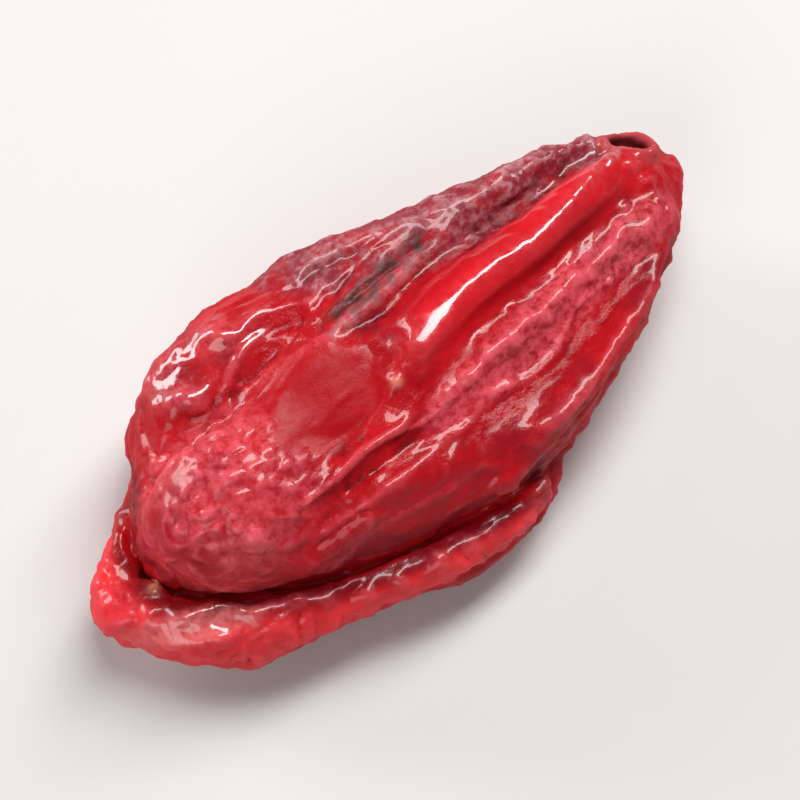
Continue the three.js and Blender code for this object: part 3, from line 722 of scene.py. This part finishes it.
def buildFlesh():
    plain, quads = skinSurface()
    edges = edgesOf(quads)
    for _ in range(skinMesh["settled"]):
        plain = evened(plain, edges, 1)
        plain = plain - normalsOf(plain, quads) * fleshDistance(plain)[:, None]
    print("flesh surface:", len(plain), "vertices,", 2 * len(quads), "triangles")

    zone = skinZones(plain)
    points = heldIn(evened(wrinkled(plain, quads, zone), edges, 1, skinMesh["softened"]), plain)
    normals = normalsOf(points, quads)
    rise = np.einsum("ij,ij->i", points - evened(points, edges, zones["riseOver"]), normals)
    zone["rise"] = np.clip(rise / zones["riseFull"], -1, 1)
    zone["upward"] = smoothStep(*zones["upward"], evened(normals, edges, zones["upwardOver"])[:, 2])
    points[:, 2] = np.maximum(points[:, 2], 0)

    perMetre = 1000
    cadLow, cadHigh = (np.array(corner) for corner in cadBox)
    shift = (cadLow + cadHigh) / 2 - (plain.min(0) + plain.max(0)) / (2 * perMetre)
    shift[2] = 0
    mesh = bpy.data.meshes.new("driedFlesh")
    mesh.from_pydata((points / perMetre + shift).tolist(), [], quads.tolist())
    for name, values in zone.items():
        mesh.attributes.new(name, "FLOAT", "POINT").data.foreach_set("value", values.astype(np.float32))
    mesh.shade_smooth()
    flesh = bpy.data.objects.new("driedFlesh", mesh)
    bpy.context.scene.collection.objects.link(flesh)
    print("flesh wrinkled: rise", [round(float(v), 3) for v in np.percentile(rise, (1, 50, 99))], "mm")
    return flesh


# One output of a material's nodes, with arithmetic.
class Sock:
    def __init__(self, tree, out=None):
        self.tree, self.out = tree, out

    def node(self, kind, settings=None, inputs=None, output=0):
        made = self.tree.nodes.new(kind)
        for name, value in (settings or {}).items():
            setattr(made, name, value)
        for name, value in (inputs or {}).items():
            if isinstance(value, Sock):
                self.tree.links.new(value.out, made.inputs[name])
            else:
                made.inputs[name].default_value = value
        return Sock(self.tree, made.outputs[output])

    def math(self, operation, *values, clamp=False):
        return self.node("ShaderNodeMath", {"operation": operation, "use_clamp": clamp},
                         dict(enumerate(values)))

    def __add__(self, other):
        return self.math("ADD", self, other)

    def __sub__(self, other):
        return self.math("SUBTRACT", self, other)

    def __rsub__(self, other):
        return self.math("SUBTRACT", other, self)

    def __mul__(self, other):
        return self.math("MULTIPLY", self, other)

    __radd__, __rmul__ = __add__, __mul__

    def clamped(self):
        return self.math("ADD", self, 0, clamp=True)

    def ranged(self, low, high, start=0.0, end=1.0):
        return self.node("ShaderNodeMapRange", {"interpolation_type": "SMOOTHSTEP"},
                         {"Value": self, "From Min": low, "From Max": high, "To Min": start, "To Max": end})

    def zone(self, name):
        return self.node("ShaderNodeAttribute", {"attribute_name": name}, output="Fac")

    def mix(self, first, second, share):
        first, second = (v if isinstance(v, Sock) else (*v, 1) for v in (first, second))
        return self.node("ShaderNodeMix", {"data_type": "RGBA"}, {0: share, 6: first, 7: second}, 2)

    def noise(self, place, scale, detail, roughness):
        return self.node("ShaderNodeTexNoise", inputs={"Vector": place, "Scale": scale, "Detail": detail,
                                                       "Roughness": roughness})


skinFinish = {
    "crimson": (0.47, 0.004, 0.010),
    # lighter red; on the calyx ridge it is partly painted light on its lit top
    "bright": (0.78, 0.006, 0.016),
    "plum": (0.27, 0.005, 0.013),
    # the window's own deep red, also laid as painted shade along the valleys
    "windowRedAndShade": (0.42, 0.002, 0.008),
    # painted shade: darkening laid into the valleys of the wrinkles
    "crease": (0.09, 0.001, 0.003),
    # pink of the skin, laid on crests and on the dome and rib partly as painted sheen
    "pinkAndSheen": (0.82, 0.11, 0.14),
    "lip": (0.86, 0.035, 0.045),
    "bandDark": (0.21, 0.022, 0.036),
    # painted shade on the flank in the nook between the lip and the dome
    "paintedNookShade": (0.15, 0.002, 0.008),
    "slot": (0.50, 0.006, 0.012),
    "straw": (0.85, 0.40, 0.24),
    # greyish bloom of the skin, laid partly as painted highlight haze
    "bloomAndSheen": (0.52, 0.21, 0.23),
    # painted sheen on the lip's upper facet
    "stain": (0.035, 0.022, 0.018),
    "paintedSheen": (0.92, 0.22, 0.22),
    "scarInside": (0.08, 0.006, 0.008),
    "scarRim": (0.50, 0.05, 0.06),
    # lumps to the metre, detail and roughness
    "noises": {"patches": (420, 3, 0.55), "blotches": (1300, 4, 0.6), "speckles": (5200, 4, 0.62),
               "pores": (15000, 2, 0.6)},
    # values of a noise or of the rise from and to which a colour comes in, and some with its least share
    "ranges": {
        "crimson": (0.32, 0.52), "bright": (0.5, 0.7), "band": (0.36, 0.58), "bandBloomAndSheen": (0.42, 0.7),
        "lip": (0.36, 0.6), "crest": (0.1, 0.9), "crestBloomAndSheen": (0.4, 0.62), "crease": (-0.15, -0.95),
        "pinkAndSheen": (0.32, 0.64, 0.15), "paintedStreakHighlight": (0.3, 0.6), "paintedSheen": (0.35, 0.65), "stain": (0.4, 0.56),
        "dull": (0.35, 0.7),
    },
    # how much of a colour goes on a zone
    "shares": {
        "calyxBrightAndLit": 0.8, "brightBlotch": 0.35, "paintedShade": 0.75,
        "bandEven": 0.45, "bandBlotch": 0.55, "bandDark": 0.85, "bandBloomAndSheen": 0.45,
        "lipEven": 0.65, "lipBlotch": 0.35,
        "crest": 0.22, "crestDome": 0.4, "crestRib": 0.4, "smoothCrest": 0.8,
        "crease": 0.75, "creaseDome": 0.5, "creaseRib": 0.5, "paintedNookShade": 0.85,
        "pinkDome": 0.5, "pinkRib": 0.7, "pinkDrawn": 0.4, "shadePink": 0.8, "paintedStreakHighlight": 0.6,
        "paintedSheenEven": 0.3, "paintedSheenSpeckle": 0.4, "stain": 0.85, "spot": 0.5, "rim": 0.8,
    },
    # the roughness and coat of plain skin, and what the zones add to them
    "roughness": {"plain": 0.22, "band": 0.14, "speckle": 0.12, "calyx": -0.06, "steep": 0.3, "window": 0.12,
                  "scar": 0.3},
    "coat": {"plain": 0.25, "calyx": 0.75, "gloss": 0.6, "lipPaintedSheen": 0.4, "window": -0.6, "paintedShade": -0.3,
             "stain": -0.4, "scar": -0.6},
    "bump": {"strength": 0.35, "distance": 0.00008, "pores": 0.35, "smooth": 0.6},
    "plainInputs": {
        "Subsurface Weight": 0.08, "Subsurface Radius": (1.0, 0.12, 0.08), "Subsurface Scale": 0.0006,
        "Coat Roughness": 0.09, "Coat IOR": 1.8, "IOR": 1.4, "Specular IOR Level": 0.3,
    },
}


def skinColour(s, zone, noises, band, smooth):
    colour = skinFinish["plum"]

    def lay(name, share):
        nonlocal colour
        colour = s.mix(colour, skinFinish[name], share)

    ranges, shares = skinFinish["ranges"], skinFinish["shares"]
    patches, blotch, speckle = (noises[name] for name in ("patches", "blotches", "speckles"))
    dome, rib, lip, window, drawn = (zone[name] for name in ("dome", "rib", "lip", "window", "drawn"))
    crest = zone["rise"].ranged(*ranges["crest"])
    lay("crimson", patches.ranged(*ranges["crimson"]))
    # lighter red, on the calyx ridge partly painted light on its lit top and elsewhere in random blotches
    lay("bright", (zone["calyx"] * shares["calyxBrightAndLit"]
                   + blotch.ranged(*ranges["bright"]) * (1 - window) * shares["brightBlotch"]).clamped())
    # the window's own deep red, and painted shade along the valleys between the ridges
    lay("windowRedAndShade", (window + zone["paintedShade"] * shares["paintedShade"]).clamped())
    lay("bandDark", band * shares["bandDark"])
    # the band's greyish bloom, partly painted highlight haze
    lay("bloomAndSheen", band * speckle.ranged(*ranges["bandBloomAndSheen"]) * shares["bandBloomAndSheen"])
    lay("lip", lip * (blotch.ranged(*ranges["lip"]) * shares["lipBlotch"] + shares["lipEven"]))
    # pink on the crests, partly the skin's own and partly painted sheen
    lay("pinkAndSheen", crest * (1 - smooth * shares["smoothCrest"]) * (1 - band)
        * (shares["crest"] + dome * shares["crestDome"] + rib * shares["crestRib"]))
    # painted highlight haze on the band's crests
    lay("bloomAndSheen", (crest * band * speckle.ranged(*ranges["crestBloomAndSheen"])).clamped())
    # painted shade: darker where the skin dips below its surroundings
    lay("crease", zone["rise"].ranged(*ranges["crease"])
        * (shares["crease"] - dome * shares["creaseDome"] - rib * shares["creaseRib"]))
    # painted shade in the nook above the lip
    lay("paintedNookShade", zone["paintedNookShade"] * (1 - lip) * shares["paintedNookShade"])
    # pink over the dome, the rib and the drawn crests, partly painted sheen and highlight
    lay("pinkAndSheen", (dome * shares["pinkDome"] + rib * shares["pinkRib"] + drawn * shares["pinkDrawn"]).clamped()
        * (1 - band) * (1 - window) * (1 - zone["paintedShade"] * shares["shadePink"])
        * speckle.ranged(*ranges["pinkAndSheen"]))
    # painted highlight along the streak and on the drawn crests of the band
    lay("bloomAndSheen", (zone["paintedStreakHighlight"] + drawn * band).clamped()
        * speckle.ranged(*ranges["paintedStreakHighlight"]) * shares["paintedStreakHighlight"])
    # painted sheen on the lip's upper facet
    lay("paintedSheen", zone["lipPaintedSheen"]
        * (shares["paintedSheenEven"] + speckle.ranged(*ranges["paintedSheen"]) * shares["paintedSheenSpeckle"]))
    lay("stain", zone["stain"] * blotch.ranged(*ranges["stain"]) * shares["stain"])
    lay("slot", zone["slot"])
    lay("straw", zone["spot"] * shares["spot"])
    lay("scarRim", zone["rim"] * shares["rim"])
    lay("scarInside", zone["scar"])
    return colour


def skinMaterial():
    material = bpy.data.materials.new("driedSkin")
    material.use_nodes = True
    tree = material.node_tree
    shader = tree.nodes["Principled BSDF"]
    s = Sock(tree)
    zone = {name: s.zone(name) for name in
            ("lip", "window", "calyx", "band", "stain", "dome", "rib", "scar", "rim", "rise", "lipPaintedSheen",
             "gloss", "paintedNookShade", "upward", "slot", "paintedStreakHighlight", "spot", "drawn", "paintedShade")}
    place = s.node("ShaderNodeTexCoord", output="Object")
    noises = {name: s.noise(place, *values) for name, values in skinFinish["noises"].items()}
    blotch, speckle, pores = (noises[name] for name in ("blotches", "speckles", "pores"))
    ranges, shares = skinFinish["ranges"], skinFinish["shares"]
    patchy = blotch.ranged(*ranges["band"]) * shares["bandBlotch"] + shares["bandEven"]
    band = (zone["band"] * patchy).clamped()
    smooth = (zone["window"] + zone["calyx"]).clamped()

    rough, coated, bumpy = skinFinish["roughness"], skinFinish["coat"], skinFinish["bump"]
    roughness = (rough["plain"] + band * rough["band"] + speckle.ranged(*ranges["dull"]) * rough["speckle"]
                 + zone["calyx"] * rough["calyx"] + (1 - zone["upward"]) * rough["steep"]
                 + zone["window"] * rough["window"] + zone["scar"] * rough["scar"]).clamped()
    glossy = (zone["calyx"] * coated["calyx"] + zone["gloss"] * coated["gloss"]
              + zone["lipPaintedSheen"] * coated["lipPaintedSheen"] + coated["plain"])
    coat = (zone["upward"] * glossy + zone["window"] * coated["window"] + zone["paintedShade"] * coated["paintedShade"]
            + zone["stain"] * coated["stain"] + zone["scar"] * coated["scar"]).clamped()
    bump = s.node("ShaderNodeBump", inputs={
        "Strength": bumpy["strength"], "Distance": bumpy["distance"],
        "Height": (speckle + pores * bumpy["pores"]) * (1 - smooth * bumpy["smooth"])})
    colour = skinColour(s, zone, noises, band, smooth)
    linked = {"Base Color": colour, "Roughness": roughness, "Coat Weight": coat, "Normal": bump}
    for name, value in linked.items():
        tree.links.new(value.out, shader.inputs[name])
    for name, value in skinFinish["plainInputs"].items():
        shader.inputs[name].default_value = value
    return material


flesh = buildFlesh()
flesh.data.materials.append(skinMaterial())
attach(flesh, "root")
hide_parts("dried_flesh")
print("flesh dressed")

studio = {
    "floorSize": 0.6, "floorColour": (0.74, 0.73, 0.715), "floorRoughness": 0.75,
    "lights": {
        "keyLight": {"at": (0.058, 0.026, 0.110), "size": (0.13, 0.034), "power": 0.175},
        "sideLight": {"at": (-0.065, 0.118, 0.045), "size": (0.09, 0.040), "power": 0.10},
        "fillLight": {"at": (-0.12, -0.06, 0.095), "size": (0.12, 0.10), "power": 0.08},
    },
    "roomColour": (1, 0.99, 0.97), "roomStrength": 0.10,
}


def makeStudio():
    half = studio["floorSize"] / 2
    mesh = bpy.data.meshes.new("studioFloor")
    corners = [(-half, -half, 0), (half, -half, 0), (half, half, 0), (-half, half, 0)]
    mesh.from_pydata(corners, [], [(0, 1, 2, 3)])
    floor = bpy.data.objects.new("studioFloor", mesh)
    bpy.context.scene.collection.objects.link(floor)
    material = bpy.data.materials.new("palePaper")
    material.use_nodes = True
    shader = material.node_tree.nodes["Principled BSDF"]
    shader.inputs["Base Color"].default_value = (*studio["floorColour"], 1)
    shader.inputs["Roughness"].default_value = studio["floorRoughness"]
    mesh.materials.append(material)
    for name, values in studio["lights"].items():
        light = bpy.data.lights.new(name, "AREA")
        light.shape, light.energy = "RECTANGLE", values["power"]
        light.size, light.size_y = values["size"]
        lamp = bpy.data.objects.new(name, light)
        lamp.location = values["at"]
        back = lamp.location.normalized()
        across = Vector((0, 1, 0)).cross(back).normalized()  # the long side lies along X
        turn = Matrix((across, back.cross(across), back)).transposed()
        lamp.rotation_euler = turn.to_euler()
        bpy.context.scene.collection.objects.link(lamp)
    world = bpy.data.worlds.new("softRoom")
    world.use_nodes = True
    sky = world.node_tree.nodes["Background"]
    sky.inputs["Color"].default_value = (*studio["roomColour"], 1)
    sky.inputs["Strength"].default_value = studio["roomStrength"]
    bpy.context.scene.world = world
    bpy.context.scene.view_settings.view_transform = "Standard"


makeStudio()
print("studio made")

lens = {"azimuth": -36.4, "elevation": 73.5, "length": 200, "sensor": 36, "clip": (0.001, 10),
        "distance": 0.096, "target": (0, 0, 0.0022)}


def makeCamera():
    data = bpy.data.cameras.new("photoCamera")
    data.lens, data.sensor_width = lens["length"], lens["sensor"]
    data.clip_start, data.clip_end = lens["clip"]
    camera = bpy.data.objects.new("photoCamera", data)
    a, e = math.radians(lens["azimuth"]), math.radians(lens["elevation"])
    back = Vector((math.sin(a) * math.cos(e), -math.cos(a) * math.cos(e), math.sin(e)))
    right = Vector((math.cos(a), math.sin(a), 0))
    turn = Matrix((right, back.cross(right), back)).transposed()
    camera.matrix_world = Matrix.Translation(Vector(lens["target"]) + lens["distance"] * back) @ turn.to_4x4()
    bpy.context.scene.collection.objects.link(camera)
    bpy.context.scene.camera = camera


makeCamera()
print("camera placed")
